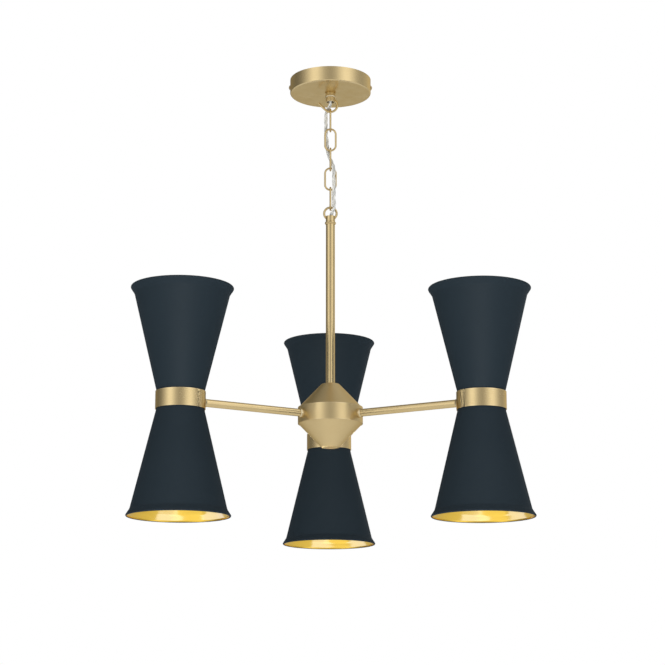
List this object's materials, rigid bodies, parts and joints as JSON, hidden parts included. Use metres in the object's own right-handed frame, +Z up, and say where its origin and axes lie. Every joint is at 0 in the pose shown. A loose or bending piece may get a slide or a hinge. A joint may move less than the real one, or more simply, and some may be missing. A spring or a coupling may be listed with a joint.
{
  "type": "pendant lamp",
  "caption": "Pendant lamp with brushed brass arms from a central hub, each with an hourglass pair of dark flared shades, on a stem and a chain under a round canopy.",
  "frame": {"origin": "centre of the canopy's ceiling face", "axes": "+Z up into the ceiling, the lamp hangs along -Z; +Y towards the back head; +X to the right as seen from the front"},
  "size_m": [0.5082, 0.4576, 0.6117],
  "materials": {
    "brass": "fine brushed, satin",
    "navy_paint": "matte dark navy outside",
    "gold_lining": "polished gold inside the shades",
    "zinc_steel": "zinc plated",
    "white_plastic": "moulded",
    "lead_sheath": "smooth",
    "flex_sheath": "twisted, pale silver to off-white",
    "holder_ceramic": "white heat-proof body",
    "opal_glass": "opal, unlit"
  },
  "bodies": {
    "ceiling_rose": {"canopy_cup": "brass", "ceiling_bracket": "zinc_steel", "canopy_side_screws": "brass", "hook_socket": "brass", "hook_wire": "brass", "hook_locknut": "zinc_steel", "cord_grip": "white_plastic", "terminal_block": "white_plastic", "terminal_screws": "zinc_steel", "earth_screw": "zinc_steel", "canopy_leads": "lead_sheath", "flex_1": "flex_sheath"},
    "chain_link_1": {"chain_link_1": "brass", "flex_2": "flex_sheath"},
    "chain_link_2": {"chain_link_2": "brass", "flex_3": "flex_sheath"},
    "chain_link_3": {"chain_link_3": "brass", "flex_4": "flex_sheath"},
    "chain_link_4": {"chain_link_4": "brass", "flex_5": "flex_sheath"},
    "chain_link_5": {"chain_link_5": "brass"},
    "lamp": {"loop_socket": "brass", "loop_ring": "brass", "stem_tube": "brass", "hub_upper_cone": "brass", "hub_band": "brass", "hub_lower_cone": "brass", "arm_beads": "brass", "arm_flares": "brass", "arm_tube_left": "brass", "arm_tube_right": "brass", "arm_tube_back": "brass", "collar_left": "brass", "collar_right": "brass", "collar_back": "brass", "shade_upper_left": "navy_paint", "shade_lower_left": "navy_paint", "shade_upper_right": "navy_paint", "shade_lower_right": "navy_paint", "shade_upper_back": "navy_paint", "shade_lower_back": "navy_paint", "hub_rod": "zinc_steel", "hub_top_nut": "zinc_steel", "hub_boss": "zinc_steel", "arm_nuts": "zinc_steel", "shade_nuts": "zinc_steel", "carrier_left": "zinc_steel", "carrier_right": "zinc_steel", "carrier_back": "zinc_steel", "hub_connector": "white_plastic", "arm_leads": "lead_sheath", "stem_cable": "lead_sheath", "flex_6": "flex_sheath", "lampholders_left": "holder_ceramic", "lampholders_right": "holder_ceramic", "lampholders_back": "holder_ceramic", "lamps_left": "opal_glass", "lamps_right": "opal_glass", "lamps_back": "opal_glass"}
  },
  "joints": [
    {"name": "hook_swing", "type": "hinge", "parent": "ceiling_rose", "child": "chain_link_1", "pos_m": [0, 0, -0.0453], "axis": [1, 0, 0], "range_deg": [-12, 12], "deforming": ["flex_1"]},
    {"name": "link_1_swing", "type": "hinge", "parent": "chain_link_1", "child": "chain_link_2", "pos_m": [0, 0, -0.07285], "axis": [0, 1, 0], "range_deg": [-12, 12], "deforming": ["flex_2"]},
    {"name": "link_2_swing", "type": "hinge", "parent": "chain_link_2", "child": "chain_link_3", "pos_m": [0, 0, -0.10065], "axis": [1, 0, 0], "range_deg": [-12, 12], "deforming": ["flex_3"]},
    {"name": "link_3_swing", "type": "hinge", "parent": "chain_link_3", "child": "chain_link_4", "pos_m": [0, 0, -0.12845], "axis": [0, 1, 0], "range_deg": [-12, 12], "deforming": ["flex_4"]},
    {"name": "link_4_swing", "type": "hinge", "parent": "chain_link_4", "child": "chain_link_5", "pos_m": [0, 0, -0.15625], "axis": [1, 0, 0], "range_deg": [-12, 12], "deforming": ["flex_5"]},
    {"name": "ring_swing", "type": "hinge", "parent": "chain_link_5", "child": "lamp", "pos_m": [0, 0, -0.18405], "axis": [0, 1, 0], "range_deg": [-12, 12], "deforming": ["flex_6"]}
  ]
}
